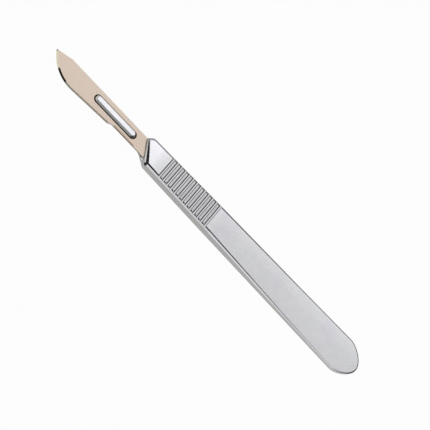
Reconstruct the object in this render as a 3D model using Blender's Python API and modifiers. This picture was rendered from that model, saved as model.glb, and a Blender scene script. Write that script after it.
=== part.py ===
"""Scalpel: a flat reusable handle with a detachable curved blade seated on its bayonet fitting.

Units are metres and +Z is up. The handle is one forged and machined piece: a flat body with
chamfered edges and finger grooves on both faces, a slanted shoulder, and a thin tang that
carries an undercut rail. The blade is one pressed and ground strip whose slot drops over the
rail. The pieces are drawn about the handle's middle plane, with x = 0 where the shoulder meets
the axis, +X towards the tip and +Y towards the cutting edge. At the end the whole scalpel is
laid down as it rests on a table, with its origin under the middle of its box.
"""

from math import atan2, ceil, cos, pi, radians, sin, sqrt, tan

import bmesh
import bpy
from mathutils import Matrix, Vector
from mathutils.geometry import interpolate_bezier

# Handle body
BODY_LENGTH = 0.0991            # shoulder to rear end, on the axis
SHOULDER_WIDTH = 0.00892        # width at the shoulder
END_WIDTH = 0.0126              # width where the rounded end begins
END_ROUND = 0.0078              # length of the rounded end
END_SIDE_PULL = 0.40            # fullness of the rounded end beside its sides
END_NOSE_PULL = 0.49            # and beside its nose
GRIP_THICKNESS = 0.0042
KNEE_HEIGHT = 0.00108           # upper face over the middle plane, at the taper's knee
END_THICKNESS = 0.00175
TAPER_START = 0.0319            # behind the shoulder, where the body starts to thin
TAPER_KNEE = 0.0709             # where the upper face turns to slope less
EDGE_CHAMFER = 0.00078          # at the grip, and it thins out with the body
EDGE_BREAK = 0.00022            # small flat on each side of the chamfer

# Shoulder and neck
SHOULDER_SLANT = radians(30.8)  # away from a square cut
CHAMFER_SIZE = 0.00034          # on the axis, of the 45-degree flat along the shoulder's edge
CHAMFER_SLANT = radians(34.3)   # so that flat widens towards the edge side
BACK_CORNER = 0.0002            # body corner on the back side, ahead of the shoulder
EDGE_CORNER = 0.0030            # body corner on the edge side, behind the shoulder
BACK_FLARE = radians(45)        # neck flare against the axis
EDGE_FLARE = radians(31)
BACK_CORNER_RADIUS = 0.0016
EDGE_CORNER_RADIUS = 0.0011
BACK_NECK_RADIUS = 0.0008
EDGE_NECK_RADIUS = 0.0025
FACET_SLANT = radians(36.2)     # flat ground along the shoulder, wider at the edge side
FACET_SLOPE = radians(20)
FACET_SETBACK = 0.0009          # behind the shoulder, on the axis
FACET_REACH = 0.0030            # how far the tools for both flats run past the shoulder
UNDERSIDE_SETBACK = 0.0022      # behind the shoulder, where the underside starts to rise
UNDERSIDE_SLOPE = radians(30)

# Finger grooves, on both faces
GROOVE_COUNT = 13
GROOVE_FIRST = 0.00863          # behind the shoulder
GROOVE_PITCH = 0.00174
GROOVE_WIDTH = 0.00102
GROOVE_DEPTH = 0.00032

# Tang and rail
TANG_LENGTH = 0.0235
TANG_WIDTH = 0.0043
TANG_NOSE_RADIUS = 0.0015
TANG_THICKNESS = 0.0010
SEAT_HEIGHT = 0.0003            # the tang's upper face, over the middle plane
RAIL_START = 0.00503            # rear end of the rail, ahead of the shoulder
RAIL_LENGTH = 0.0170
RAIL_WIDTH = 0.00244
RAIL_HEIGHT = 0.0014            # over the tang
RAIL_SLOPE_WIDTH = 0.0005       # of the slopes over and under the rail head's rim
RAIL_SLOPE_HEIGHT = 0.0006      # of the upper slope
RAIL_LIP_HEIGHT = 0.00012       # of the lower slope
RAIL_UNDERCUT = 0.0004          # all round, from the head's rim to its web

# Blade
BLADE_LENGTH = 0.0403           # heel to tip, on the axis
BLADE_THICKNESS = 0.0004
BACK_DEPTH = 0.00295            # axis to the back
SHANK_DEPTH = 0.0027            # axis to the shank's edge side
HEEL_DEPTH = 0.0029             # axis to the heel's corner on the edge side
HEEL_LENGTH = 0.0027            # over which the edge side widens to the heel
HEEL_FILLET_RADIUS = 0.012
HEEL_CORNER_RADIUS = 0.0005
CUTTING_LENGTH = 0.02615        # tip to the rear end of the cutting edge
BELLY_DEPTH = 0.00452           # axis to the lowest point of the belly
BELLY_RADIUS = 0.0126
EDGE_RISE = radians(3.66)       # straight part of the edge against the axis
POINT_LENGTH = 0.0056           # sloping part of the back
POINT_OFFSET = 0.0016           # axis to the tip, on the back side
NOTCH_SLOPE = radians(30)       # step from the shank to the cutting edge
GRIND_WIDTH = 0.00058
EDGE_LAND = 0.00003             # thickness left at the cutting edge

# Fits
SEAT_GAP = 0.0001               # blade to tang, and rail head to blade
HEEL_GAP = 0.00012              # heel to shoulder
SLOT_SIDE_GAP = 0.00024         # rail to slot, each side
SLOT_END_GAP = 0.00049          # rail to slot, each end

# Fineness of curves
ARC_STEP = radians(12)
EDGE_ARC_STEP = radians(3)
END_STEPS = 14
GROOVE_SIDES = 20
WELD = 1e-6                     # joins points that lie together

# Room that cutters reach past the part
SPARE = 0.004


def rounded(corners):
    """Return the points of a closed outline whose corners (x, y, radius) are rounded by arcs."""
    points = []
    for index, (x, y, radius) in enumerate(corners):
        corner = Vector((x, y))
        if radius == 0:
            points.append(corner)
            continue
        before = (Vector(corners[index - 1][:2]) - corner).normalized()
        after = (Vector(corners[(index + 1) % len(corners)][:2]) - corner).normalized()
        half = before.angle(after) / 2
        centre = corner + (before + after).normalized() * radius / sin(half)
        spoke = corner + before * radius / tan(half) - centre
        last = corner + after * radius / tan(half) - centre
        sweep = atan2(spoke.cross(last), spoke.dot(last))
        steps = max(2, ceil(abs(sweep) / ARC_STEP))
        for step in range(steps + 1):
            points.append(centre + Matrix.Rotation(sweep * step / steps, 2) @ spoke)
    return points


def material(name, colour, roughness):
    """Return a plain steel material."""
    steel = bpy.data.materials.new(name)
    steel.use_nodes = True
    shader = steel.node_tree.nodes["Principled BSDF"]
    shader.inputs["Base Color"].default_value = (*colour, 1)
    shader.inputs["Metallic"].default_value = 1
    shader.inputs["Roughness"].default_value = roughness
    return steel


def plate(name, outlines, low, high, chamfer, collection):
    """Extrude flat outlines from low to high as a mesh object, with a chamfer all round."""
    curve = bpy.data.curves.new(name, "CURVE")
    curve.dimensions = "2D"
    curve.fill_mode = "BOTH"
    curve.extrude = (high - low) / 2 - chamfer
    curve.bevel_depth = chamfer
    curve.bevel_resolution = 0
    curve.offset = -chamfer
    for outline in outlines:
        spline = curve.splines.new("POLY")
        spline.points.add(len(outline) - 1)
        spline.use_cyclic_u = True
        for point, (x, y) in zip(spline.points, outline):
            point.co = (x, y, 0, 1)
    drawn = bpy.data.objects.new(name + "_curve", curve)
    collection.objects.link(drawn)
    drawn.location.z = (low + high) / 2
    bpy.context.view_layer.update()
    evaluated = drawn.evaluated_get(bpy.context.evaluated_depsgraph_get())
    mesh = bpy.data.meshes.new_from_object(evaluated)
    solid = bmesh.new()
    solid.from_mesh(mesh)
    bmesh.ops.remove_doubles(solid, verts=solid.verts, dist=WELD)
    bmesh.ops.dissolve_limit(
        solid, angle_limit=radians(0.2), verts=solid.verts, edges=solid.edges)
    bmesh.ops.recalc_face_normals(solid, faces=solid.faces)
    solid.transform(drawn.matrix_world)
    solid.to_mesh(mesh)
    solid.free()
    bpy.data.objects.remove(drawn)
    piece = bpy.data.objects.new(name, mesh)
    collection.objects.link(piece)
    return piece


def box(name, low, high, collection):
    """Add a box between two corners."""
    size = Vector(high) - Vector(low)
    solid = bmesh.new()
    bmesh.ops.create_cube(solid, size=1)
    bmesh.ops.scale(solid, vec=size, verts=solid.verts)
    bmesh.ops.translate(solid, vec=(Vector(low) + Vector(high)) / 2, verts=solid.verts)
    mesh = bpy.data.meshes.new(name)
    solid.to_mesh(mesh)
    solid.free()
    piece = bpy.data.objects.new(name, mesh)
    collection.objects.link(piece)
    return piece


def combine(target, tool, operation):
    """Cut, join or intersect the target with a tool, which is left as a guide."""
    boolean = target.modifiers.new(tool.name, "BOOLEAN")
    boolean.operation = operation
    boolean.object = tool
    boolean.solver = "EXACT"
    tool.display_type = "WIRE"
    tool.hide_render = True


def half_width(x):
    """Half the width of the handle body at x, along its straight sides."""
    share = -x / (BODY_LENGTH - END_ROUND)
    return (SHOULDER_WIDTH + (END_WIDTH - SHOULDER_WIDTH) * share) / 2


def height_share(x, upper):
    """Height of the body's upper or lower face at x, as a share of its height at the grip.

    The upper face slopes down in two stages. The lower one rises in a single flat.
    """
    stations = [(-TAPER_START, GRIP_THICKNESS / 2), (-BODY_LENGTH, END_THICKNESS / 2)]
    if upper:
        stations.insert(1, (-TAPER_KNEE, KNEE_HEIGHT))
    if x >= -TAPER_START:
        return 1.0
    for (ahead, high), (behind, low) in zip(stations, stations[1:]):
        if x >= behind:
            break
    share = (ahead - x) / (ahead - behind)
    return (high + (low - high) * share) / (GRIP_THICKNESS / 2)


def handle_outline():
    """Plan of the whole handle: tang, flared neck, widening body and rounded rear end."""
    tang = TANG_WIDTH / 2
    back = half_width(BACK_CORNER)
    edge = half_width(-EDGE_CORNER)
    back_neck = BACK_CORNER + (back - tang) / tan(BACK_FLARE)
    edge_neck = -EDGE_CORNER + (edge - tang) / tan(EDGE_FLARE)
    end_start = END_ROUND - BODY_LENGTH
    front = rounded([
        (-TAPER_START, -half_width(-TAPER_START), 0),
        (BACK_CORNER, -back, BACK_CORNER_RADIUS),
        (back_neck, -tang, BACK_NECK_RADIUS),
        (TANG_LENGTH, -tang, TANG_NOSE_RADIUS),
        (TANG_LENGTH, tang, TANG_NOSE_RADIUS),
        (edge_neck, tang, EDGE_NECK_RADIUS),
        (-EDGE_CORNER, edge, EDGE_CORNER_RADIUS),
        (-TAPER_START, half_width(-TAPER_START), 0),
    ])
    side_slope = (END_WIDTH - SHOULDER_WIDTH) / 2 / (BODY_LENGTH - END_ROUND)
    side_handle = END_SIDE_PULL * END_ROUND
    nose_handle = END_NOSE_PULL * END_WIDTH / 2
    quarter = interpolate_bezier(
        (end_start, END_WIDTH / 2),
        (end_start - side_handle, END_WIDTH / 2 + side_handle * side_slope),
        (-BODY_LENGTH, nose_handle),
        (-BODY_LENGTH, 0),
        END_STEPS)
    edge_side = [Vector(point) for point in quarter]
    back_side = [Vector((point.x, -point.y)) for point in reversed(edge_side[:-1])]
    return front + edge_side + back_side


def thin_out(body):
    """Thin the body towards its rear end, with its chamfer, keeping both faces flat."""
    top = GRIP_THICKNESS / 2
    rim = top - EDGE_CHAMFER
    solid = bmesh.new()
    solid.from_mesh(body.data)
    for station in (-TAPER_START, -TAPER_KNEE):
        bmesh.ops.bisect_plane(
            solid, geom=solid.verts[:] + solid.edges[:] + solid.faces[:], dist=WELD,
            plane_co=(station, 0, 0), plane_no=(1, 0, 0))
    moves = {}
    for vert in solid.verts:
        if abs(vert.co.z) > (top + rim) / 2:
            outer = [edge.other_vert(vert) for edge in vert.link_edges
                     if abs(edge.other_vert(vert).co.z) < (top + rim) / 2]
            share = height_share(vert.co.x, vert.co.z > 0)
            moves[vert] = outer[0].co.xy.lerp(vert.co.xy, share)
    for vert, place in moves.items():
        vert.co.xy = place
    for vert in solid.verts:
        vert.co.z *= height_share(vert.co.x, vert.co.z > 0)
    solid.to_mesh(body.data)
    solid.free()


def shoulder_cutters(collection):
    """Tools that mill the blade's seat, the shoulder's two upper flats and the tang's underside."""
    reach = TANG_LENGTH + SPARE
    high = GRIP_THICKNESS / 2 + SPARE
    seat = box("seat_cutter", (0, -reach, SEAT_HEIGHT), (2 * reach, reach, high), collection)
    seat.rotation_euler.z = SHOULDER_SLANT

    chamfer = box("shoulder_chamfer", (-reach, -reach, 0), (FACET_REACH, reach, high), collection)
    chamfer.rotation_euler = (0, pi / 4, CHAMFER_SLANT)
    chamfer.location = (-CHAMFER_SIZE / cos(CHAMFER_SLANT), 0, GRIP_THICKNESS / 2)

    facet = box("facet_cutter", (-reach, -reach, 0), (FACET_REACH, reach, high), collection)
    facet.rotation_euler = (0, FACET_SLOPE, FACET_SLANT)
    facet.location = (-FACET_SETBACK, 0, GRIP_THICKNESS / 2)

    under = SEAT_HEIGHT - TANG_THICKNESS
    rise = (under + high) / tan(UNDERSIDE_SLOPE)
    ramp_start = -UNDERSIDE_SETBACK - (high - GRIP_THICKNESS / 2) / tan(UNDERSIDE_SLOPE)
    ramp = plate(
        "underside_cutter",
        [[Vector((ramp_start, -high)), Vector((2 * reach, -high)),
          Vector((2 * reach, under)), Vector((ramp_start + rise, under))]],
        -reach, reach, 0, collection)
    ramp.rotation_euler = (pi / 2, 0, SHOULDER_SLANT)
    return seat, chamfer, facet, ramp


def groove_cutter(collection):
    """One tool with a round bar for each finger groove, over and under the body."""
    radius = (GROOVE_WIDTH ** 2 / 4 + GROOVE_DEPTH ** 2) / (2 * GROOVE_DEPTH)
    bar_height = GRIP_THICKNESS / 2 + radius - GROOVE_DEPTH
    solid = bmesh.new()
    for index in range(GROOVE_COUNT):
        x = -GROOVE_FIRST - index * GROOVE_PITCH
        for side in (-1, 1):
            place = Matrix.Translation((x, 0, side * bar_height))
            bmesh.ops.create_cone(
                solid, cap_ends=True, segments=GROOVE_SIDES, radius1=radius, radius2=radius,
                depth=END_WIDTH + SPARE, matrix=place @ Matrix.Rotation(pi / 2, 4, "X"))
    mesh = bpy.data.meshes.new("groove_cutter")
    solid.to_mesh(mesh)
    solid.free()
    cutter = bpy.data.objects.new("groove_cutter", mesh)
    collection.objects.link(cutter)
    return cutter


def obround(start, end, width):
    """Outline of a bar with round ends, between two places on the axis."""
    half = width / 2
    steps = ceil(pi / ARC_STEP)
    points = []
    for centre, first in ((end - half, -pi / 2), (start + half, pi / 2)):
        for step in range(steps + 1):
            angle = first + pi * step / steps
            points.append(Vector((centre + half * cos(angle), half * sin(angle))))
    return points


def rail_pieces(collection):
    """The rail's sloping head and the narrower web that stands it on the tang."""
    end = RAIL_START + RAIL_LENGTH
    low = SEAT_HEIGHT + SEAT_GAP + BLADE_THICKNESS + SEAT_GAP
    high = SEAT_HEIGHT + RAIL_HEIGHT
    levels = {-2: low, -1: low + RAIL_LIP_HEIGHT, 1: high - RAIL_SLOPE_HEIGHT, 2: high}
    head = plate(
        "rail_head", [obround(RAIL_START, end, RAIL_WIDTH)],
        -2 * RAIL_SLOPE_WIDTH, 2 * RAIL_SLOPE_WIDTH, RAIL_SLOPE_WIDTH, collection)
    for vert in head.data.vertices:
        vert.co.z = levels[round(vert.co.z / RAIL_SLOPE_WIDTH)]
    web = plate(
        "rail_web",
        [obround(RAIL_START + RAIL_UNDERCUT, end - RAIL_UNDERCUT, RAIL_WIDTH - 2 * RAIL_UNDERCUT)],
        SEAT_HEIGHT - TANG_THICKNESS / 2, (low + high) / 2, 0, collection)
    return web, head


def make_handle(parts, cutters):
    """Model the handle."""
    top = GRIP_THICKNESS / 2
    body = plate("handle", [handle_outline()], -top, top, EDGE_CHAMFER, parts)
    thin_out(body)
    body.data.materials.append(material("handle_steel", (0.74, 0.75, 0.76), 0.28))
    broken = body.modifiers.new("edge_break", "BEVEL")
    broken.width = EDGE_BREAK
    broken.segments = 1
    broken.limit_method = "ANGLE"
    broken.angle_limit = radians(30)
    for cutter in shoulder_cutters(cutters):
        combine(body, cutter, "DIFFERENCE")
    combine(body, groove_cutter(cutters), "DIFFERENCE")
    for piece in rail_pieces(cutters):
        combine(body, piece, "UNION")
    return body


def heel_x(y):
    """Place of the blade's slanted heel at y."""
    return HEEL_GAP / cos(SHOULDER_SLANT) - y * tan(SHOULDER_SLANT)


def blade_blank():
    """Outline of the pressed strip, with stock left where the cutting edge is ground."""
    tip = heel_x(0) + BLADE_LENGTH
    stock = BELLY_DEPTH + GRIND_WIDTH
    edge_start = tip - CUTTING_LENGTH
    step = (stock - SHANK_DEPTH) / tan(NOTCH_SLOPE)
    notch = edge_start - (straight_edge_y(edge_start) - SHANK_DEPTH) / tan(NOTCH_SLOPE)
    back_rise = (BACK_DEPTH - POINT_OFFSET) / POINT_LENGTH
    return rounded([
        (heel_x(-BACK_DEPTH), -BACK_DEPTH, 0),
        (tip - POINT_LENGTH, -BACK_DEPTH, 0),
        (tip + GRIND_WIDTH, -POINT_OFFSET + GRIND_WIDTH * back_rise, 0),
        (tip + GRIND_WIDTH, stock, 0),
        (notch + step, stock, 0),
        (notch, SHANK_DEPTH, 0),
        (heel_x(HEEL_DEPTH) + HEEL_LENGTH, SHANK_DEPTH, HEEL_FILLET_RADIUS),
        (heel_x(HEEL_DEPTH), HEEL_DEPTH, HEEL_CORNER_RADIUS),
    ])


def belly_centre():
    """Centre of the arc that the cutting edge follows from the belly to the tip."""
    y = BELLY_DEPTH - BELLY_RADIUS
    tip = heel_x(0) + BLADE_LENGTH
    x = tip - sqrt(BELLY_RADIUS ** 2 - (-POINT_OFFSET - y) ** 2)
    return Vector((x, y))


def straight_edge_y(x):
    """Place of the straight part of the cutting edge, which meets the belly's arc smoothly."""
    centre = belly_centre()
    tangent_x = centre.x - BELLY_RADIUS * sin(EDGE_RISE)
    tangent_y = centre.y + BELLY_RADIUS * cos(EDGE_RISE)
    return tangent_y - (tangent_x - x) * tan(EDGE_RISE)


def grind_outline():
    """Outline that bounds the grinding: the cutting edge, closed well outside the blank."""
    centre = belly_centre()
    edge_start = heel_x(0) + BLADE_LENGTH - CUTTING_LENGTH
    lower = -BACK_DEPTH - SPARE
    first = pi / 2 + EDGE_RISE
    last = atan2(-POINT_OFFSET - GRIND_WIDTH - centre.y, BELLY_RADIUS)
    steps = ceil((first - last) / EDGE_ARC_STEP)
    arc = []
    for step in range(steps + 1):
        angle = first + (last - first) * step / steps
        arc.append(centre + BELLY_RADIUS * Vector((cos(angle), sin(angle))))
    start_y = straight_edge_y(edge_start)
    far = BELLY_DEPTH + SPARE
    return [
        Vector((edge_start - far + start_y, far)),
        Vector((edge_start, start_y)),
        *arc,
        Vector((arc[-1].x, lower)),
        Vector((-SPARE, lower)),
        Vector((-SPARE, far)),
    ]


def make_blade(parts, cutters):
    """Model the blade: a flat blank with its slot, ground thin along the cutting edge."""
    low = SEAT_HEIGHT + SEAT_GAP
    high = low + BLADE_THICKNESS
    middle = (low + high) / 2
    slot = obround(
        RAIL_START - SLOT_END_GAP, RAIL_START + RAIL_LENGTH + SLOT_END_GAP,
        RAIL_WIDTH + 2 * SLOT_SIDE_GAP)
    blade = plate("blade", [blade_blank(), slot], low, high, 0, parts)
    blade.data.materials.append(material("blade_steel", (0.66, 0.56, 0.47), 0.34))

    slope = (BLADE_THICKNESS - EDGE_LAND) / 2 / GRIND_WIDTH
    depth = 2 * GRIND_WIDTH
    land = EDGE_LAND / 2 / slope
    grind = plate(
        "grind_envelope", [grind_outline()], -depth - land, depth + land, depth, cutters)
    for vert in grind.data.vertices:
        vert.co.z = middle + vert.co.z * slope
    combine(blade, grind, "INTERSECT")
    return blade


def lay_down(pieces, tools, collection):
    """Lay the scalpel on z = 0 on its rear underside, with its origin under its box's middle."""
    tilt = atan2((GRIP_THICKNESS - END_THICKNESS) / 2, BODY_LENGTH - TAPER_START)
    rest = bpy.data.objects.new("rest", None)
    collection.objects.link(rest)
    rest.rotation_euler.y = -tilt
    for item in (*pieces, *tools):
        item.parent = rest
    bpy.context.view_layer.update()
    graph = bpy.context.evaluated_depsgraph_get()
    points = []
    for piece in pieces:
        evaluated = piece.evaluated_get(graph)
        points += [evaluated.matrix_world @ vert.co for vert in evaluated.data.vertices]
    low = Vector([min(point[axis] for point in points) for axis in range(3)])
    high = Vector([max(point[axis] for point in points) for axis in range(3)])
    rest.location = (-(low.x + high.x) / 2, 0, -low.z)


def main():
    """Build the scalpel."""
    for item in list(bpy.data.objects):
        bpy.data.objects.remove(item)
    parts = bpy.data.collections.new("scalpel")
    cutters = bpy.data.collections.new("cutters")
    for collection in (parts, cutters):
        bpy.context.scene.collection.children.link(collection)
    handle = make_handle(parts, cutters)
    blade = make_blade(parts, cutters)
    lay_down((handle, blade), cutters.objects[:], parts)
    bpy.context.view_layer.update()


main()
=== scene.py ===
"""Studio scene for a scalpel: its two pieces, their steel finishes, and the stage they lie on."""

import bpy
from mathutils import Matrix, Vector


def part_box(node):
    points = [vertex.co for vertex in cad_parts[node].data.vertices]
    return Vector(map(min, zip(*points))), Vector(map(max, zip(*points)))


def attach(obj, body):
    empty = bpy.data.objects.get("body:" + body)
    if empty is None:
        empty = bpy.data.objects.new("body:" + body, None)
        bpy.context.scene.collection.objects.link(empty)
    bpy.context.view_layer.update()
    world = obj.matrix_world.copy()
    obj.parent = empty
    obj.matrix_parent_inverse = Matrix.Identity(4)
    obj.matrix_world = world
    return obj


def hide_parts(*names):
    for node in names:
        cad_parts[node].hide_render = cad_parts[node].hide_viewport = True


bl_info = {
    "name": "Scalpel studio",
    "version": (1, 0, 0),
    "blender": (4, 5, 0),
    "location": "3D View > Sidebar > Scalpel",
    "description": "Finishes a scalpel's handle and blade and lays it on a pale studio floor",
    "category": "Object",
}

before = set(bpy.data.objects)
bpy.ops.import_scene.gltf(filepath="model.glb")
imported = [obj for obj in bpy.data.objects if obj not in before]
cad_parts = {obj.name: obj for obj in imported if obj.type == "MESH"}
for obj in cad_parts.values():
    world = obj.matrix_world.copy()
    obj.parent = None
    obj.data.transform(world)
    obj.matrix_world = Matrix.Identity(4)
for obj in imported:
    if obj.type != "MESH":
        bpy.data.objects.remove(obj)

from math import cos, radians, sin

import bmesh
import bpy
from mathutils import Matrix, Vector

HANDLE_LOW, HANDLE_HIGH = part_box("handle")
BLADE_LOW, BLADE_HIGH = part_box("blade")
HEEL = BLADE_LOW.x              # the heel's corner on the cutting-edge side
SEAT = BLADE_LOW.z + 0.0004     # between the tang and the shoulder's wall
WELD = 2e-6                     # joins the loose triangles of a piece
FLAT_ANGLE = radians(0.4)       # faces closer than this are one flat
SHARP_ANGLE = radians(20)       # faces farther apart than this meet in a sharp edge
SLOPE_STEP = 0.04               # and so do slopes whose upward parts differ by this
RIM_SHARE = 0.25                # of the widest rounding, along the finger grooves' rims

# Upward parts of a face's normal, from level faces down to upright ones.
ROUNDED = 0.9985
LEVEL = 0.985
FACET = 0.9
GROUND = 0.5
UPRIGHT = 0.2

# Parts of a face's normal along X or Y.
SIDE_SLOPE = 0.05               # of every face that slopes sideways
WEDGE_SLOPE = 0.1               # of the slanted facet, forwards
ROUND_END_SLOPE = 0.15          # of the rail's round ends
NARROW_FACET_SLOPE = 0.2        # of the narrow facet along the grip, sideways
CHAMFER_SLOPE = 0.3             # of the chamfer along the grip, and more than a groove's
FRONT_WALL_SLOPE = 0.35         # of the grooves' steep walls
REAR_WALL_SLOPE = 0.59

# Places on the handle, in metres along X or Y.
SHOULDER_WALL = Vector((0.859, 0.512, 0.0))     # the way that the wall faces
WALL_LIKENESS = 0.95            # least part along it of a normal on the wall
WALL_FOOT = SEAT - 0.0002
LIE_SLOPE = 0.01822             # rise of the top along X as the handle lies
LAND_DEPTH = 0.0001             # how far below the highest top a groove's land may lie
GRIP_FRONT = HEEL - 0.0062
GRIP_REAR = GRIP_FRONT - 0.0225
RAIL_REAR = HEEL + 0.0065
RAIL_ENDS = HEEL + 0.0075       # ahead of this, only the rail's round ends slope along X
TANG_REAR = HEEL + 0.005
# WEDGE_DULL and WEDGE_BRIGHT bound the painted reflection on the wedge's narrow end.
WEDGE_DULL = -0.0029            # where the wedge starts to darken, and is dark, along Y
WEDGE_BRIGHT = -0.0015
# CORNER_REAR and CORNER_FRONT bound the painted shade on the chamfer's corner.
CORNER_REAR = 0.02575           # where the chamfer along the grip darkens, towards the shoulder
CORNER_FRONT = 0.0261
# TONE_FRONT ends the painted-reflection ramps along X of the satin and bright steels.
TONE_FRONT = 0.030              # front end of the ramps that start at the rounded end

# Lengths and places on the blade.
POINT_LENGTH = 0.0012           # of the darkened tip
FROST_LENGTH = 0.0042           # of the cutting edge, from the tip
GROUND_LENGTH = 0.0262          # tip to the rear end of the cutting edge
# The polished run is painted black, a painted reflection.
POLISH_REFLECTION_START = 0.17             # the edge's polished run, as shares of that length
POLISH_REFLECTION_END = 0.33
SHANK_EDGE = 0.0027             # half the shank's depth, and its front end along X
SHANK_FRONT = 0.0415

# Near white: on the milled faces, a painted bright reflection.
MILLED_SHEEN_COLOUR = (0.96, 0.96, 0.90)
SIDE_COLOUR = (0.80, 0.81, 0.78)
# Pale: a painted highlight on the frosted point.
FROST_HIGHLIGHT_COLOUR = (0.78, 0.73, 0.54)
SHEARED_COLOUR = (0.06, 0.045, 0.035)


class ScalpelHandleSettings(bpy.types.PropertyGroup):
    """Finish of the handle."""

    colour: bpy.props.FloatVectorProperty(
        name="Colour", description="Reflected colour of the satin steel",
        subtype="COLOR", size=3, min=0, max=1, default=(0.72, 0.72, 0.745))
    roughness: bpy.props.FloatProperty(
        name="Roughness", description="Roughness of the satin flats",
        subtype="FACTOR", min=0, max=1, default=0.24)
    polish: bpy.props.FloatProperty(
        name="Polish", description="Roughness of the bright chamfers",
        subtype="FACTOR", min=0, max=1, default=0.14)
    edge_width: bpy.props.FloatProperty(
        name="Edge width", description="Width of the worn rounding on each sharp edge",
        subtype="DISTANCE", unit="LENGTH", min=0, precision=6, default=0.00002)
    rim_width: bpy.props.FloatProperty(
        name="Rim width", description="Width of the rounding on the edges ahead of the grip",
        subtype="DISTANCE", unit="LENGTH", min=0.00001, precision=6, default=0.0002)
    wedge_wear: bpy.props.FloatProperty(
        name="Wedge wear", description="How far polishing has moved the slanted facet's rear edge",
        subtype="DISTANCE", unit="LENGTH", min=0, precision=6, default=0.00009)


class ScalpelBladeSettings(bpy.types.PropertyGroup):
    """Finish of the blade."""

    colour: bpy.props.FloatVectorProperty(
        name="Colour", description="Reflected colour of the rolled strip",
        subtype="COLOR", size=3, min=0, max=1, default=(0.735, 0.618, 0.527))
    ground_colour: bpy.props.FloatVectorProperty(
        name="Ground colour", description="Reflected colour of the ground edge",
        subtype="COLOR", size=3, min=0, max=1, default=(0.66, 0.59, 0.47))
    # Painted shade: the dark brown of the tang's faces in the narrow gaps.
    gap_shade_colour: bpy.props.FloatVectorProperty(
        name="Stain colour", description="Colour of the sheared sides and of the dirt in the gaps",
        subtype="COLOR", size=3, min=0, max=1, default=(0.17, 0.115, 0.07))
    roughness: bpy.props.FloatProperty(
        name="Roughness", description="Roughness of the rolled strip",
        subtype="FACTOR", min=0, max=1, default=0.32)
    edge_width: bpy.props.FloatProperty(
        name="Edge width", description="Width of the rounding on the sheared edges",
        subtype="DISTANCE", unit="LENGTH", min=0, precision=6, default=0.00001)
    edge_wear: bpy.props.FloatProperty(
        name="Edge wear", description="Extra width of the polished part of the ground edge",
        subtype="DISTANCE", unit="LENGTH", min=0, precision=6, default=0.00008)


class ScalpelStageSettings(bpy.types.PropertyGroup):
    """Camera, floor and light."""

    aim: bpy.props.FloatVectorProperty(
        name="Aim", description="Point that the camera looks at",
        subtype="TRANSLATION", unit="LENGTH", size=3, precision=6,
        default=(-0.000715, -0.001192, 0.0035))
    distance: bpy.props.FloatProperty(
        name="Distance", description="Camera to aim",
        subtype="DISTANCE", unit="LENGTH", precision=5, default=0.44917)
    azimuth: bpy.props.FloatProperty(
        name="Azimuth", description="Camera's direction round the scalpel, from +X",
        subtype="ANGLE", unit="ROTATION", default=radians(66.126))
    elevation: bpy.props.FloatProperty(
        name="Elevation", description="Camera's height over the floor, as an angle",
        subtype="ANGLE", unit="ROTATION", default=radians(60.521))
    roll: bpy.props.FloatProperty(
        name="Roll", description="Camera's turn about its line of sight",
        subtype="ANGLE", unit="ROTATION", default=radians(66.98))
    lens: bpy.props.FloatProperty(
        name="Lens", description="Focal length in millimetres, on a 36 mm sensor",
        min=10, max=500, default=120.93)
    floor_size: bpy.props.FloatProperty(
        name="Floor size", description="Side of the square floor",
        subtype="DISTANCE", unit="LENGTH", default=4.0)
    floor_white: bpy.props.FloatProperty(
        name="Floor white", description="How far the floor hides its shadows",
        subtype="FACTOR", min=0, max=1, default=0.975)
    sky: bpy.props.FloatProperty(
        name="Sky", description="Strength of the light tent round the scalpel",
        min=0, default=1.0)


def deselect():
    """Leave nothing selected."""
    bpy.ops.object.select_all(action="DESELECT")


def own_copy(node, name):
    """Copy a node's mesh into a welded object of its own, with its flats as single faces."""
    deselect()
    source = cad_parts[node]
    mesh = source.data.copy()
    mesh.name = name
    piece = bpy.data.objects.new(name, mesh)
    bpy.context.scene.collection.objects.link(piece)
    piece.select_set(True)
    bpy.context.view_layer.objects.active = piece
    if mesh.has_custom_normals:
        bpy.ops.mesh.customdata_custom_splitnormals_clear()
    bpy.ops.object.mode_set(mode="EDIT")
    bpy.ops.mesh.select_all(action="SELECT")
    bpy.ops.mesh.remove_doubles(threshold=WELD)
    bpy.ops.mesh.dissolve_limited(angle_limit=FLAT_ANGLE)
    bpy.ops.object.mode_set(mode="OBJECT")
    return piece


def widen_slopes(piece, amount, chosen):
    """Widen the sloped faces that the test chooses, by moving their upper edge back in plan."""
    solid = bmesh.new()
    solid.from_mesh(piece.data)
    shifts = {}
    for face in solid.faces:
        if not chosen(face.calc_center_median(), face.normal):
            continue
        back = -Vector((face.normal.x, face.normal.y, 0)).normalized()
        for edge in face.edges:
            flats = [other for other in edge.link_faces if abs(other.normal.z) > LEVEL]
            if flats:
                for corner in edge.verts:
                    shifts.setdefault(corner, []).append(back)
    for corner, ways in shifts.items():
        corner.co += sum(ways, Vector()) / len(ways) * amount
    solid.to_mesh(piece.data)
    solid.free()


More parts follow.
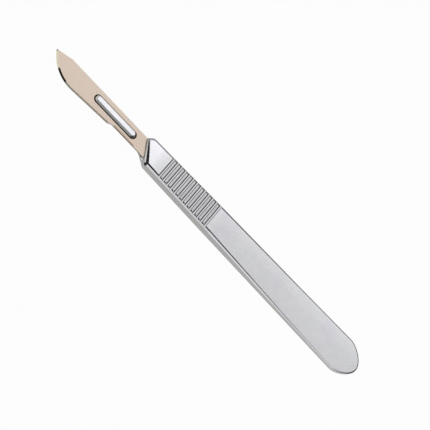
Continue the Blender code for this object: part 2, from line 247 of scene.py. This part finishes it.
def weigh_edges(piece, rim_low, rim_high, share):
    """Weigh the edges to round: fully where the flat ahead of the grip meets a facet.

    The groove rims, between two places along X, have a share of their own, and all other sharp
    edges the share given. An edge is sharp where its faces lie far apart, or slope unlike each
    other. The small steps along a curve stay smooth.
    """
    solid = bmesh.new()
    solid.from_mesh(piece.data)
    layer = solid.edges.layers.float.new("bevel_weight_edge")
    for edge in solid.edges:
        if len(edge.link_faces) != 2:
            continue
        first, second = (face.normal for face in edge.link_faces)
        angle = first.angle(second)
        sideways = min(abs(first.y), abs(second.y)) > SIDE_SLOPE
        if angle < SHARP_ANGLE and not (sideways and abs(first.z - second.z) > SLOPE_STEP):
            continue
        middle = (edge.verts[0].co + edge.verts[1].co) / 2
        crosswise = abs((edge.verts[0].co - edge.verts[1].co).normalized().y) > 0.9
        rim = rim_low < middle.x < rim_high and crosswise
        facet = max(first.z, second.z) > LEVEL and FACET < min(first.z, second.z) < LEVEL
        if rim:
            edge[layer] = RIM_SHARE
        elif facet and rim_high < middle.x:
            edge[layer] = 1.0
        else:
            edge[layer] = share
    solid.to_mesh(piece.data)
    solid.free()


def round_edges(piece, width):
    """Round a piece's weighed edges a little, and shade it so that its flats stay flat."""
    bevel = piece.modifiers.new("worn edges", "BEVEL")
    bevel.width = width
    bevel.segments = 2
    bevel.limit_method = "WEIGHT"
    bevel.use_clamp_overlap = False
    bevel.miter_outer = "MITER_ARC"
    bpy.ops.object.modifier_apply(modifier=bevel.name)
    bpy.ops.object.shade_smooth()
    weighted = piece.modifiers.new("flat shading", "WEIGHTED_NORMAL")
    weighted.mode = "FACE_AREA"
    weighted.weight = 100
    bpy.ops.object.modifier_apply(modifier=weighted.name)


def level_normals(piece, chosen):
    """Shade the chosen faces as if they lay level, like the frosted rim of a flat."""
    mesh = piece.data
    normals = [Vector(corner.vector) for corner in mesh.corner_normals]
    for face in mesh.polygons:
        if chosen(face.center, face.normal):
            for corner in face.loop_indices:
                normals[corner] = Vector((0, 0, 1 if face.normal.z > 0 else -1))
    mesh.normals_split_custom_set(normals)


def give_material(piece, steel, chosen=None):
    """Add a material to a piece, on the faces whose centre and normal the test chooses."""
    piece.data.materials.append(steel)
    if chosen is None:
        return
    slot = len(piece.data.materials) - 1
    for face in piece.data.polygons:
        if chosen(face.center, face.normal):
            face.material_index = slot


class Finish:
    """A steel material and the nodes that build it up."""

    def __init__(self, name, roughness):
        self.material = bpy.data.materials.new(name)
        self.material.use_nodes = True
        self.tree = self.material.node_tree
        self.shader = self.tree.nodes["Principled BSDF"]
        self.shader.inputs["Metallic"].default_value = 1
        self.shader.inputs["Roughness"].default_value = roughness
        self.place = self.tree.nodes.new("ShaderNodeTexCoord").outputs["Object"]

    def node(self, kind, **settings):
        """Add a node."""
        made = self.tree.nodes.new(kind)
        for key, value in settings.items():
            setattr(made, key, value)
        return made

    def join(self, source, target):
        """Link an output to an input."""
        self.tree.links.new(source, target)

    def noise(self, scale, detail=2.0, stretch=(1, 1, 1)):
        """Noise of so many cells a metre, stretched along the axes."""
        mapping = self.node("ShaderNodeMapping")
        mapping.inputs["Scale"].default_value = stretch
        self.join(self.place, mapping.inputs["Vector"])
        texture = self.node("ShaderNodeTexNoise")
        texture.inputs["Scale"].default_value = scale
        texture.inputs["Detail"].default_value = detail
        self.join(mapping.outputs["Vector"], texture.inputs["Vector"])
        return texture.outputs["Fac"]

    def ramp(self, source, stops):
        """Colours along a value, from (place, colour) stops."""
        ramp = self.node("ShaderNodeValToRGB")
        elements = ramp.color_ramp.elements
        while len(elements) < len(stops):
            elements.new(0.5)
        for element, (position, colour) in zip(elements, stops):
            element.position = position
            element.color = (*colour, 1)
        self.join(source, ramp.inputs["Fac"])
        return ramp.outputs["Color"]

    def shade(self, source, low, dark, high):
        """A grey that rises from a dark level at a low value to white at a high one."""
        return self.ramp(source, [(low, (dark, dark, dark)), (high, (1, 1, 1))])

    def along(self, axis, low, high):
        """Share of the way from low to high along an axis."""
        split = self.node("ShaderNodeSeparateXYZ")
        self.join(self.place, split.inputs["Vector"])
        share = self.node("ShaderNodeMapRange")
        share.inputs["From Min"].default_value = low
        share.inputs["From Max"].default_value = high
        self.join(split.outputs[axis], share.inputs["Value"])
        return share.outputs["Result"]

    def mix(self, kind, factor, first, second):
        """Mix two colours, each an output or plain values."""
        mix = self.node("ShaderNodeMix", data_type="RGBA", blend_type=kind)
        mix.inputs["Factor"].default_value = factor
        for socket, value in ((mix.inputs["A"], first), (mix.inputs["B"], second)):
            if isinstance(value, tuple):
                socket.default_value = (*value, 1)
            else:
                self.join(value, socket)
        return mix.outputs["Result"]

    def spread(self, source, low, high):
        """Map a noise's usual range to a range of values."""
        share = self.node("ShaderNodeMapRange")
        share.inputs["From Min"].default_value = 0.3
        share.inputs["From Max"].default_value = 0.7
        share.inputs["To Min"].default_value = low
        share.inputs["To Max"].default_value = high
        self.join(source, share.inputs["Value"])
        return share.outputs["Result"]

    def bump(self, source, depth):
        """Raise the surface by a height in metres."""
        bump = self.node("ShaderNodeBump")
        bump.inputs["Strength"].default_value = 1
        bump.inputs["Distance"].default_value = depth
        self.join(source, bump.inputs["Height"])
        self.join(bump.outputs["Normal"], self.shader.inputs["Normal"])


def tinted(colour, share):
    """A colour made lighter or darker."""
    return tuple(min(1.0, part * share) for part in colour)


def satin_steel(settings):
    """The handle's broad faces: satin steel with a faint cloudy mottling and fine scratches, and a
    painted reflection: lighter at the rounded end, ahead of the grip and towards −Y.
    """
    steel = Finish("satin_steel", settings.roughness)
    colour = tinted(settings.colour, 1.115)
    # Painted reflection along X: lighter over the rounded end, dimmer over the grip, lighter again
    # ahead of it.
    tone = steel.ramp(steel.along("X", HANDLE_LOW.x, TONE_FRONT), [
        (0.0, tinted(colour, 1.15)),
        (0.15, tinted(colour, 1.14)),
        (0.28, tinted(colour, 1.10)),
        (0.44, tinted(colour, 1.03)),
        (0.82, tinted(colour, 0.98)),
        (0.92, tinted(colour, 0.98)),
        (0.94, tinted(colour, 1.07)),
        (0.955, tinted(colour, 1.20)),
    ])
    # Painted reflection across Y: lightest on the −Y side, darker towards +Y.
    across = steel.ramp(steel.along("Y", HANDLE_LOW.y, HANDLE_HIGH.y), [
        (0.0, (1, 1, 1)),
        (0.2, (0.955, 0.955, 0.955)),
        (0.45, (0.89, 0.89, 0.89)),
        (1.0, (0.855, 0.855, 0.855)),
    ])
    tone = steel.mix("MULTIPLY", 1.0, tone, across)
    tone = steel.mix("MULTIPLY", 0.5, tone, steel.shade(steel.noise(420, 4), 0.35, 0.94, 0.65))
    patches = steel.ramp(steel.noise(150, 2), [
        (0.35, (0.95, 0.95, 0.985)),
        (0.5, (1, 1, 0.995)),
        (0.65, (0.975, 0.99, 0.985)),
    ])
    tone = steel.mix("MULTIPLY", 0.9, tone, patches)
    steel.join(tone, steel.shader.inputs["Base Color"])
    scratches = steel.noise(1, 3, (300, 9000, 9000))
    steel.join(
        steel.spread(scratches, settings.roughness - 0.04, settings.roughness + 0.05),
        steel.shader.inputs["Roughness"])
    steel.bump(steel.noise(900, 2), 0.000002)
    return steel.material


def bright_steel(name, settings, share):
    """The handle's chamfers and slopes: polished steel, with its colour by a share and a painted
    reflection along X, dark at the very end and lightest over the rounded end.
    """
    steel = Finish(name, settings.polish)
    # Painted reflection along X: dark at the very end, lightest over the rounded end.
    colour = steel.ramp(steel.along("X", HANDLE_LOW.x, TONE_FRONT), [
        (0.012, tinted(settings.colour, share * 0.5)),
        (0.03, tinted(settings.colour, share * 1.40)),
        (0.15, tinted(settings.colour, share * 1.40)),
        (0.44, tinted(settings.colour, share * 1.26)),
        (0.60, tinted(settings.colour, share)),
    ])
    marks = steel.noise(1, 3, (400, 4000, 4000))
    tone = steel.mix("MULTIPLY", 0.5, colour, steel.shade(marks, 0.3, 0.9, 0.6))
    steel.join(tone, steel.shader.inputs["Base Color"])
    steel.join(
        steel.spread(marks, settings.polish - 0.03, settings.polish + 0.04),
        steel.shader.inputs["Roughness"])
    return steel.material


def facet_steel(settings):
    """The facets ahead of the grip: polished dark, and less metallic at the narrow end of the
    wedge, a painted reflection that lightens it.
    """
    steel = Finish("facet_steel", settings.polish)
    steel.shader.inputs["Base Color"].default_value = (*tinted(settings.colour, 0.85), 1)
    # Painted reflection: less metallic towards the wedge's narrow end, which lightens it.
    dull = steel.shade(steel.along("Y", WEDGE_DULL, WEDGE_BRIGHT), 0.0, 0.3, 1.0)
    steel.join(dull, steel.shader.inputs["Metallic"])
    return steel.material


def corner_shade_steel(settings):
    """The chamfer along the grip: polished, with painted shade that darkens its corner at the
    shoulder.
    """
    steel = Finish("corner_shade_steel", settings.polish)
    # Painted shade: nearly black towards the shoulder.
    tone = steel.ramp(steel.along("X", CORNER_REAR, CORNER_FRONT), [
        (0.0, tinted(settings.colour, 0.76)),
        (1.0, tinted(settings.colour, 0.05)),
    ])
    steel.join(tone, steel.shader.inputs["Base Color"])
    return steel.material


def groove_steel(name, settings, share):
    """The lands and steep walls of the finger grooves, each darker by its share; on the steep
    walls this is painted shade.
    """
    steel = Finish(name, settings.roughness)
    marks = steel.noise(1, 3, (3000, 500, 3000))
    tone = steel.mix(
        "MULTIPLY", 0.8, tinted(settings.colour, share), steel.shade(marks, 0.3, 0.8, 0.65))
    steel.join(tone, steel.shader.inputs["Base Color"])
    return steel.material


def milled_sheen_steel():
    """The shoulder's wall and the rail's round ends: matt, as the milling cutter left them, and
    near-white without metal, a painted bright reflection.
    """
    steel = Finish("milled_sheen_steel", 0.5)
    steel.shader.inputs["Metallic"].default_value = 0
    marks = steel.noise(1, 2, (5000, 5000, 800))
    tone = steel.mix("MULTIPLY", 0.7, MILLED_SHEEN_COLOUR, steel.shade(marks, 0.3, 0.8, 0.65))
    steel.join(tone, steel.shader.inputs["Base Color"])
    return steel.material


def side_steel(settings):
    """The handle's upright sides and underside: duller steel."""
    steel = Finish("side_steel", settings.roughness + 0.2)
    grain = steel.noise(1, 3, (200, 5000, 5000))
    tone = steel.mix("MULTIPLY", 0.6, SIDE_COLOUR, steel.shade(grain, 0.3, 0.85, 0.65))
    steel.join(tone, steel.shader.inputs["Base Color"])
    return steel.material


def gap_shade_steel(settings):
    """Steel in the narrow gaps: painted shade in dark brown."""
    steel = Finish("gap_shade_steel", 0.6)
    steel.shader.inputs["Metallic"].default_value = 0.4
    tone = steel.mix(
        "MULTIPLY", 0.5, tuple(settings.gap_shade_colour),
        steel.shade(steel.noise(2500), 0.3, 0.6, 0.7))
    steel.join(tone, steel.shader.inputs["Base Color"])
    return steel.material


def dark_point(steel):
    """A tone that darkens the blade's very tip."""
    return steel.ramp(
        steel.along("X", BLADE_HIGH.x - POINT_LENGTH, BLADE_HIGH.x),
        [(0.5, (1, 1, 1)), (0.75, (0.08, 0.08, 0.08))])


def strip_steel(settings):
    """The blade's flats: rolled strip with a warm matt tone, and painted shade along the shank's
    edge.
    """
    steel = Finish("strip_steel", settings.roughness)
    clouds = steel.ramp(steel.noise(500, 3), [
        (0.3, (1.0, 0.955, 0.95)),
        (0.5, (1, 1, 1)),
        (0.7, (0.965, 0.985, 0.96)),
    ])
    tone = steel.mix("MULTIPLY", 1.0, tuple(settings.colour), clouds)
    grain = steel.shade(steel.noise(1, 3, (300, 6000, 6000)), 0.3, 0.92, 0.65)
    tone = steel.mix("MULTIPLY", 0.7, tone, grain)
    tone = steel.mix("MULTIPLY", 1.0, tone, dark_point(steel))
    # Painted shade along the shank's edge, between the heel and the shank's front.
    rim = steel.ramp(
        steel.along("Y", SHANK_EDGE - 0.0007, SHANK_EDGE),
        [(0.0, (1, 1, 1)), (0.6, (0.57, 0.50, 0.43))])
    ahead = steel.ramp(
        steel.along("X", SHANK_FRONT - 0.0005, SHANK_FRONT),
        [(0.0, (0, 0, 0)), (1.0, (1, 1, 1))])
    heel = steel.ramp(
        steel.along("X", BLADE_LOW.x + 0.004, BLADE_LOW.x + 0.007),
        [(0.0, (1, 1, 1)), (1.0, (0, 0, 0))])
    ends = steel.mix("LIGHTEN", 1.0, heel, ahead)
    tone = steel.mix("MULTIPLY", 1.0, tone, steel.mix("LIGHTEN", 1.0, rim, ends))
    steel.join(tone, steel.shader.inputs["Base Color"])
    return steel.material


def ground_steel(settings):
    """The ground cutting edge: frosted at the point and along the shank, polished on the belly,
    with a pale painted highlight at the point and a painted black reflection on the belly.
    """
    steel = Finish("ground_steel", settings.roughness)
    colour = tuple(settings.ground_colour)
    back = steel.along("X", BLADE_HIGH.x, BLADE_HIGH.x - GROUND_LENGTH)
    polish = steel.ramp(back, [
        (POLISH_REFLECTION_END - 0.01, (1, 1, 1)),
        (POLISH_REFLECTION_END + 0.02, (0.25, 0.25, 0.25)),
    ])
    # Pale painted highlight at the point, painted black reflection on the belly, ground colour
    # behind.
    tone = steel.ramp(back, [
        (POLISH_REFLECTION_START - 0.01, FROST_HIGHLIGHT_COLOUR),
        (POLISH_REFLECTION_START + 0.01, tinted(colour, 0.1)),
        (POLISH_REFLECTION_END - 0.01, tinted(colour, 0.1)),
        (POLISH_REFLECTION_END + 0.02, colour),
    ])
    grain = steel.shade(steel.noise(1, 2, (6000, 800, 800)), 0.3, 0.8, 0.7)
    tone = steel.mix("MULTIPLY", 0.7, tone, grain)
    tone = steel.mix("MULTIPLY", 1.0, tone, dark_point(steel))
    steel.join(tone, steel.shader.inputs["Base Color"])
    steel.join(polish, steel.shader.inputs["Metallic"])
    return steel.material


def sheared_steel():
    """The blade's sheared sides: dark brown."""
    steel = Finish("sheared_steel", 0.6)
    steel.shader.inputs["Metallic"].default_value = 0
    steel.shader.inputs["Specular IOR Level"].default_value = 0.2
    tone = steel.mix(
        "MULTIPLY", 0.5, SHEARED_COLOUR, steel.shade(steel.noise(2500), 0.3, 0.6, 0.7))
    steel.join(tone, steel.shader.inputs["Base Color"])
    return steel.material


class SCALPEL_OT_handle(bpy.types.Operator):
    """Make the finished handle: worn edges, satin faces, bright chamfers and duller sides"""

    bl_idname = "scalpel.handle"
    bl_label = "Handle"

    def execute(self, context):
        settings = context.scene.scalpel_handle
        piece = own_copy("handle", "scalpel_handle")
        widen_slopes(
            piece, settings.wedge_wear,
            lambda centre, normal: (
                FACET < normal.z < LEVEL and normal.x > WEDGE_SLOPE
                and GRIP_FRONT < centre.x < RAIL_REAR))
        weigh_edges(piece, GRIP_REAR, GRIP_FRONT, settings.edge_width / settings.rim_width)
        round_edges(piece, settings.rim_width)
        piece.data.materials.clear()
        give_material(piece, satin_steel(settings))
        give_material(
            piece, bright_steel("bright_steel", settings, 0.9),
            lambda centre, normal: UPRIGHT < normal.z < LEVEL)
        give_material(
            piece, facet_steel(settings),
            lambda centre, normal: (
                FACET < normal.z < ROUNDED and normal.y > 0 and centre.x > GRIP_FRONT
                or FACET < normal.z < LEVEL and normal.y > NARROW_FACET_SLOPE
                and centre.x > GRIP_REAR))
        give_material(
            piece, corner_shade_steel(settings),
            lambda centre, normal: (
                UPRIGHT < normal.z < FACET and normal.y > CHAMFER_SLOPE
                and 0 < centre.x < HEEL))
        # The rail's slopes: the same bright steel at a smaller share, painted shade.
        give_material(
            piece, bright_steel("rail_slope_steel", settings, 0.5),
            lambda centre, normal: UPRIGHT < normal.z < LEVEL and centre.x > RAIL_REAR)
        give_material(piece, side_steel(settings), lambda centre, normal: normal.z <= UPRIGHT)
        self.finish_grooves(piece, settings)
        give_material(
            piece, milled_sheen_steel(),
            lambda centre, normal: (
                normal.dot(SHOULDER_WALL) > WALL_LIKENESS and centre.z > WALL_FOOT
                or abs(normal.x) > ROUND_END_SLOPE and normal.z > UPRIGHT
                and centre.x > RAIL_ENDS))
        # Painted shade on the tang's faces in the gaps.
        give_material(
            piece, gap_shade_steel(context.scene.scalpel_blade),
            lambda centre, normal: centre.x > TANG_REAR and normal.z > FACET and centre.z < SEAT)
        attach(piece, "root")
        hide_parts("handle")
        return {"FINISHED"}

    @staticmethod
    def finish_grooves(piece, settings):
        """Give the lands between the finger grooves and the grooves' steep walls their steel, with
        painted shade on the walls, darkest on the front walls.
        """
        top = max(face.center.z - LIE_SLOPE * face.center.x for face in piece.data.polygons)
        give_material(
            piece, groove_steel("groove_land_steel", settings, 0.80),
            lambda centre, normal: (
                GRIP_REAR < centre.x < GRIP_FRONT
                and normal.z > LEVEL and centre.z - LIE_SLOPE * centre.x > top - LAND_DEPTH))
        # Shares of colour: painted shade on the walls, darkest on the front walls, which face
        # back.
        for name, way, least, share in (
                ("groove_front_steel", -1, FRONT_WALL_SLOPE, 0.24),
                ("groove_rear_steel", 1, REAR_WALL_SLOPE, 0.50)):
            give_material(
                piece, groove_steel(name, settings, share),
                lambda centre, normal: (
                    GRIP_REAR < centre.x < GRIP_FRONT
                    and least < normal.x * way and abs(normal.y) < CHAMFER_SLOPE))


class SCALPEL_OT_blade(bpy.types.Operator):
    """Make the finished blade: warm rolled strip, ground edge and brown sheared sides"""

    bl_idname = "scalpel.blade"
    bl_label = "Blade"

    def execute(self, context):
        settings = context.scene.scalpel_blade
        piece = own_copy("blade", "scalpel_blade")
        widen_slopes(
            piece, settings.edge_wear,
            lambda centre, normal: (
                GROUND < abs(normal.z) < LEVEL
                and POLISH_REFLECTION_START < (BLADE_HIGH.x - centre.x) / GROUND_LENGTH < POLISH_REFLECTION_END))
        weigh_edges(piece, 0, 0, 1.0)
        round_edges(piece, settings.edge_width)
        level_normals(
            piece,
            lambda centre, normal: (
                GROUND < abs(normal.z) < LEVEL and centre.x > BLADE_HIGH.x - FROST_LENGTH))
        piece.data.materials.clear()
        give_material(piece, strip_steel(settings))
        give_material(
            piece, ground_steel(settings), lambda centre, normal: GROUND < abs(normal.z) < LEVEL)
        give_material(piece, sheared_steel(), lambda centre, normal: abs(normal.z) <= GROUND)
        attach(piece, "root")
        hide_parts("blade")
        return {"FINISHED"}


class StageNodes:
    """Small helpers for the stage's node trees."""

    def __init__(self, tree):
        self.tree = tree

    def value(self, operation, *inputs):
        """A maths node on outputs or plain numbers."""
        made = self.tree.nodes.new("ShaderNodeMath")
        made.operation = operation
        for socket, entry in zip(made.inputs, inputs):
            if isinstance(entry, (int, float)):
                socket.default_value = entry
            else:
                self.tree.links.new(entry, socket)
        return made.outputs["Value"]

    def smooth(self, source, low, high, at_low, at_high):
        """A smooth step from one level to another."""
        share = self.tree.nodes.new("ShaderNodeMapRange")
        share.interpolation_type = "SMOOTHSTEP"
        share.inputs["From Min"].default_value = low
        share.inputs["From Max"].default_value = high
        share.inputs["To Min"].default_value = at_low
        share.inputs["To Max"].default_value = at_high
        self.tree.links.new(source, share.inputs["Value"])
        return share.outputs["Result"]

    def curve(self, source, stops):
        """A level that follows straight runs between (place, level) stops."""
        level = stops[0][1]
        for (start, first), (end, last) in zip(stops, stops[1:]):
            rise = self.tree.nodes.new("ShaderNodeMapRange")
            rise.inputs["From Min"].default_value = start
            rise.inputs["From Max"].default_value = end
            rise.inputs["To Min"].default_value = 0
            rise.inputs["To Max"].default_value = last - first
            self.tree.links.new(source, rise.inputs["Value"])
            level = self.value("ADD", level, rise.outputs["Result"])
        return level


def light_tent(strength):
    """White tent, with the dark opening that the camera looks in by and its dark stand."""
    world = bpy.data.worlds.new("light_tent")
    world.use_nodes = True
    tree = world.node_tree
    nodes = StageNodes(tree)
    direction = tree.nodes.new("ShaderNodeTexCoord").outputs["Generated"]
    split = tree.nodes.new("ShaderNodeSeparateXYZ")
    tree.links.new(direction, split.inputs["Vector"])
    x, y, z = split.outputs

    opening = Vector((0.22, 0.22, 0.95)).normalized()
    dot = tree.nodes.new("ShaderNodeVectorMath")
    dot.operation = "DOT_PRODUCT"
    dot.inputs[1].default_value = opening
    tree.links.new(direction, dot.inputs[0])
    angle = nodes.value("ARCCOSINE", dot.outputs["Value"])
    cap = nodes.smooth(angle, radians(29), radians(36), 0.02, 1.0)

    azimuth = nodes.value("ARCTAN2", y, x)
    off_stand = nodes.value("ABSOLUTE", nodes.value("SUBTRACT", azimuth, radians(77)))
    beside = nodes.smooth(off_stand, radians(10), radians(17), 0.03, 1.0)
    zenith = nodes.value("ARCCOSINE", z)
    below = nodes.smooth(zenith, radians(74), radians(82), 0.0, 1.0)
    stand = nodes.value("MAXIMUM", beside, below)
    behind = nodes.curve(x, [
        (-1.0, 0.15),
        (-0.7, 0.22),
        (-0.5, 0.50),
        (-0.34, 0.86),
        (-0.26, 0.97),
        (-0.15, 1.22),
    ])
    across = nodes.value(
        "SUBTRACT", nodes.value("MULTIPLY", x, 0.78), nodes.value("MULTIPLY", y, 0.62))
    ahead = nodes.curve(across, [(0.3, 1.0), (0.6, 0.75), (0.95, 0.4)])
    low = nodes.smooth(x, 0.25, 0.55, 0.15, 1.0)
    high = nodes.smooth(nodes.value("ADD", z, nodes.value("MULTIPLY", y, 0.1)), 0.2, 0.5, 0.0, 1.0)
    horizon = nodes.value("MAXIMUM", low, high)
    level = nodes.value("MULTIPLY", nodes.value("MULTIPLY", cap, stand), behind)
    level = nodes.value("MULTIPLY", nodes.value("MULTIPLY", level, ahead), horizon)

    path = tree.nodes.new("ShaderNodeLightPath")
    shown = tree.nodes.new("ShaderNodeMix")
    shown.data_type = "FLOAT"
    tree.links.new(path.outputs["Is Camera Ray"], shown.inputs["Factor"])
    tree.links.new(nodes.value("MULTIPLY", level, strength), shown.inputs["A"])
    shown.inputs["B"].default_value = 1
    tree.links.new(shown.outputs["Result"], tree.nodes["Background"].inputs["Strength"])
    tree.nodes["Background"].inputs["Color"].default_value = (1, 1, 1, 1)
    bpy.context.scene.world = world


def floor_paper(white):
    """White paper that shows white to the camera and in the steel, and keeps a faint shadow."""
    paper = bpy.data.materials.new("floor_paper")
    paper.use_nodes = True
    tree = paper.node_tree
    nodes = StageNodes(tree)
    matt = tree.nodes["Principled BSDF"]
    matt.inputs["Base Color"].default_value = (0.36, 0.36, 0.35, 1)
    matt.inputs["Roughness"].default_value = 0.9
    matt.inputs["Specular IOR Level"].default_value = 0.1
    glow = tree.nodes.new("ShaderNodeEmission")
    glow.inputs["Strength"].default_value = 1
    path = tree.nodes.new("ShaderNodeLightPath")
    seen = nodes.value(
        "MAXIMUM", path.outputs["Is Camera Ray"], path.outputs["Is Transmission Ray"])
    place = tree.nodes.new("ShaderNodeSeparateXYZ")
    tree.links.new(tree.nodes.new("ShaderNodeTexCoord").outputs["Object"], place.inputs["Vector"])
    # Painted light: in the steel, the paper glows more towards +Y than towards −Y.
    painted_glow = nodes.smooth(place.outputs["Y"], -0.03, 0.01, 0.1, 0.5)
    mirrored = nodes.value("MULTIPLY", path.outputs["Is Glossy Ray"], painted_glow)
    share = nodes.value("MULTIPLY", nodes.value("MAXIMUM", seen, mirrored), white)
    mix = tree.nodes.new("ShaderNodeMixShader")
    tree.links.new(share, mix.inputs["Fac"])
    tree.links.new(matt.outputs["BSDF"], mix.inputs[1])
    tree.links.new(glow.outputs["Emission"], mix.inputs[2])
    tree.links.new(mix.outputs["Shader"], tree.nodes["Material Output"].inputs["Surface"])
    return paper


def place_camera(settings):
    """Add the camera, aimed from its angles and turned about its line of sight."""
    towards = Vector((
        cos(settings.elevation) * cos(settings.azimuth),
        cos(settings.elevation) * sin(settings.azimuth),
        sin(settings.elevation)))
    turn = towards.to_track_quat("Z", "Y").to_matrix() @ Matrix.Rotation(settings.roll, 3, "Z")
    place = Vector(settings.aim) + towards * settings.distance
    bpy.ops.object.camera_add(location=place, rotation=turn.to_euler())
    camera = bpy.context.object
    camera.data.lens = settings.lens
    camera.data.sensor_width = 36
    camera.data.clip_start = 0.01
    camera.data.clip_end = 20
    bpy.context.scene.camera = camera


class SCALPEL_OT_stage(bpy.types.Operator):
    """Add the floor, the light tent and the camera"""

    bl_idname = "scalpel.stage"
    bl_label = "Stage"

    def execute(self, context):
        settings = context.scene.scalpel_stage
        deselect()
        bpy.ops.mesh.primitive_plane_add(size=settings.floor_size, location=(0, 0, -0.00001))
        floor = context.object
        floor.name = "floor"
        floor.data.materials.append(floor_paper(settings.floor_white))
        light_tent(settings.sky)
        place_camera(settings)
        context.scene.view_settings.view_transform = "Standard"
        return {"FINISHED"}


class SCALPEL_PT_panel(bpy.types.Panel):
    """Lists the scalpel's pieces and its stage"""

    bl_idname = "SCALPEL_PT_panel"
    bl_label = "Scalpel"
    bl_space_type = "VIEW_3D"
    bl_region_type = "UI"
    bl_category = "Scalpel"

    def draw(self, context):
        scene = context.scene
        for settings, operator in (
                (scene.scalpel_handle, SCALPEL_OT_handle),
                (scene.scalpel_blade, SCALPEL_OT_blade),
                (scene.scalpel_stage, SCALPEL_OT_stage)):
            column = self.layout.column()
            for name in settings.bl_rna.properties.keys():
                if name not in {"rna_type", "name"}:
                    column.prop(settings, name)
            column.operator(operator.bl_idname)


CLASSES = (
    ScalpelHandleSettings,
    ScalpelBladeSettings,
    ScalpelStageSettings,
    SCALPEL_OT_handle,
    SCALPEL_OT_blade,
    SCALPEL_OT_stage,
    SCALPEL_PT_panel,
)


def register():
    """Add the settings, operators and panel."""
    for cls in CLASSES:
        bpy.utils.register_class(cls)
    bpy.types.Scene.scalpel_handle = bpy.props.PointerProperty(type=ScalpelHandleSettings)
    bpy.types.Scene.scalpel_blade = bpy.props.PointerProperty(type=ScalpelBladeSettings)
    bpy.types.Scene.scalpel_stage = bpy.props.PointerProperty(type=ScalpelStageSettings)


def unregister():
    """Take them away again."""
    del bpy.types.Scene.scalpel_stage
    del bpy.types.Scene.scalpel_blade
    del bpy.types.Scene.scalpel_handle
    for cls in reversed(CLASSES):
        bpy.utils.unregister_class(cls)


def main():
    """Make every piece and the stage."""
    register()
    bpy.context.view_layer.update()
    bpy.ops.scalpel.handle()
    bpy.ops.scalpel.blade()
    bpy.ops.scalpel.stage()


if __name__ == "__main__":
    main()
